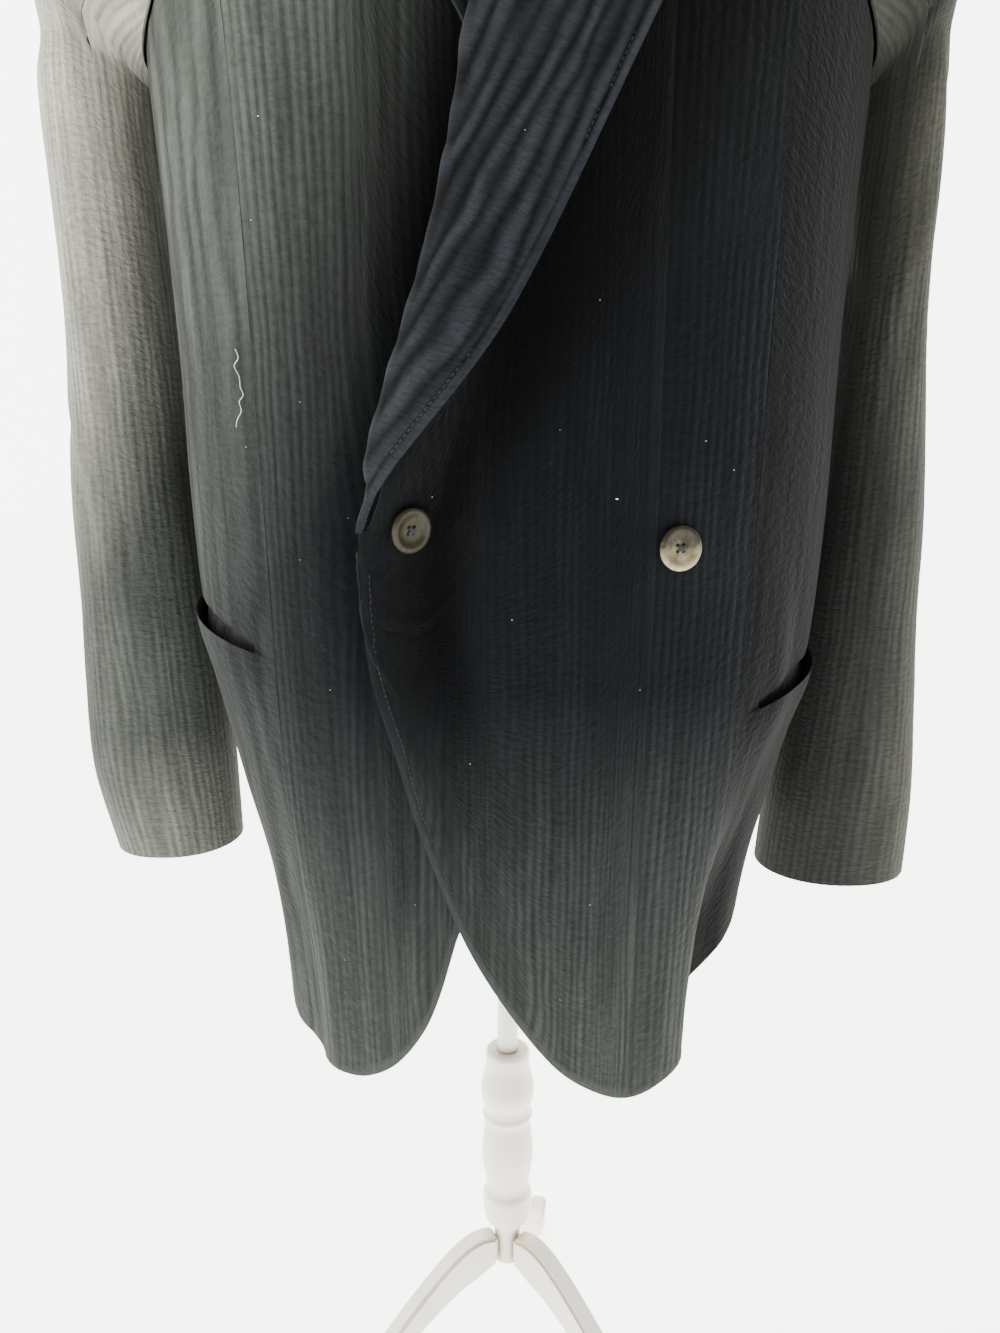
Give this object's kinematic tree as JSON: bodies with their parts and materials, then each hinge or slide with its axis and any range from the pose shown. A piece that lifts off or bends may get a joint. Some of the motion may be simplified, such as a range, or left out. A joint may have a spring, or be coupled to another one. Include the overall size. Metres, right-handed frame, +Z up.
{
  "type": "blazer on a dress form",
  "caption": "Double-breasted blazer of crinkled ribbed gauze, worn on a limbless dress form on a turned post with splayed legs.",
  "frame": {"origin": "on the floor, under the middle of the whole object's box", "axes": "+X to the wearer's left, +Y to the back, +Z up"},
  "size_m": [0.6136, 0.4706, 1.3123],
  "materials": {
    "gauze": "matte crinkled ribs",
    "horn": "polished horn",
    "form_cover": "smooth jersey",
    "stand_paint": "satin cream"
  },
  "bodies": {
    "root": {"front_left": "gauze", "front_right": "gauze", "side_left": "gauze", "side_right": "gauze", "back": "gauze", "sleeve_upper_left": "gauze", "sleeve_under_left": "gauze", "sleeve_upper_right": "gauze", "sleeve_under_right": "gauze", "lapel_left": "gauze", "lapel_right": "gauze", "collar": "gauze", "pocket_facing_left": "gauze", "pocket_facing_right": "gauze", "button_fastened": "horn", "button_outer": "horn", "form_torso": "form_cover", "form_neck_cap": "stand_paint", "pole": "stand_paint", "post": "stand_paint", "leg_left": "stand_paint", "leg_right": "stand_paint", "leg_back": "stand_paint"}
  },
  "joints": []
}
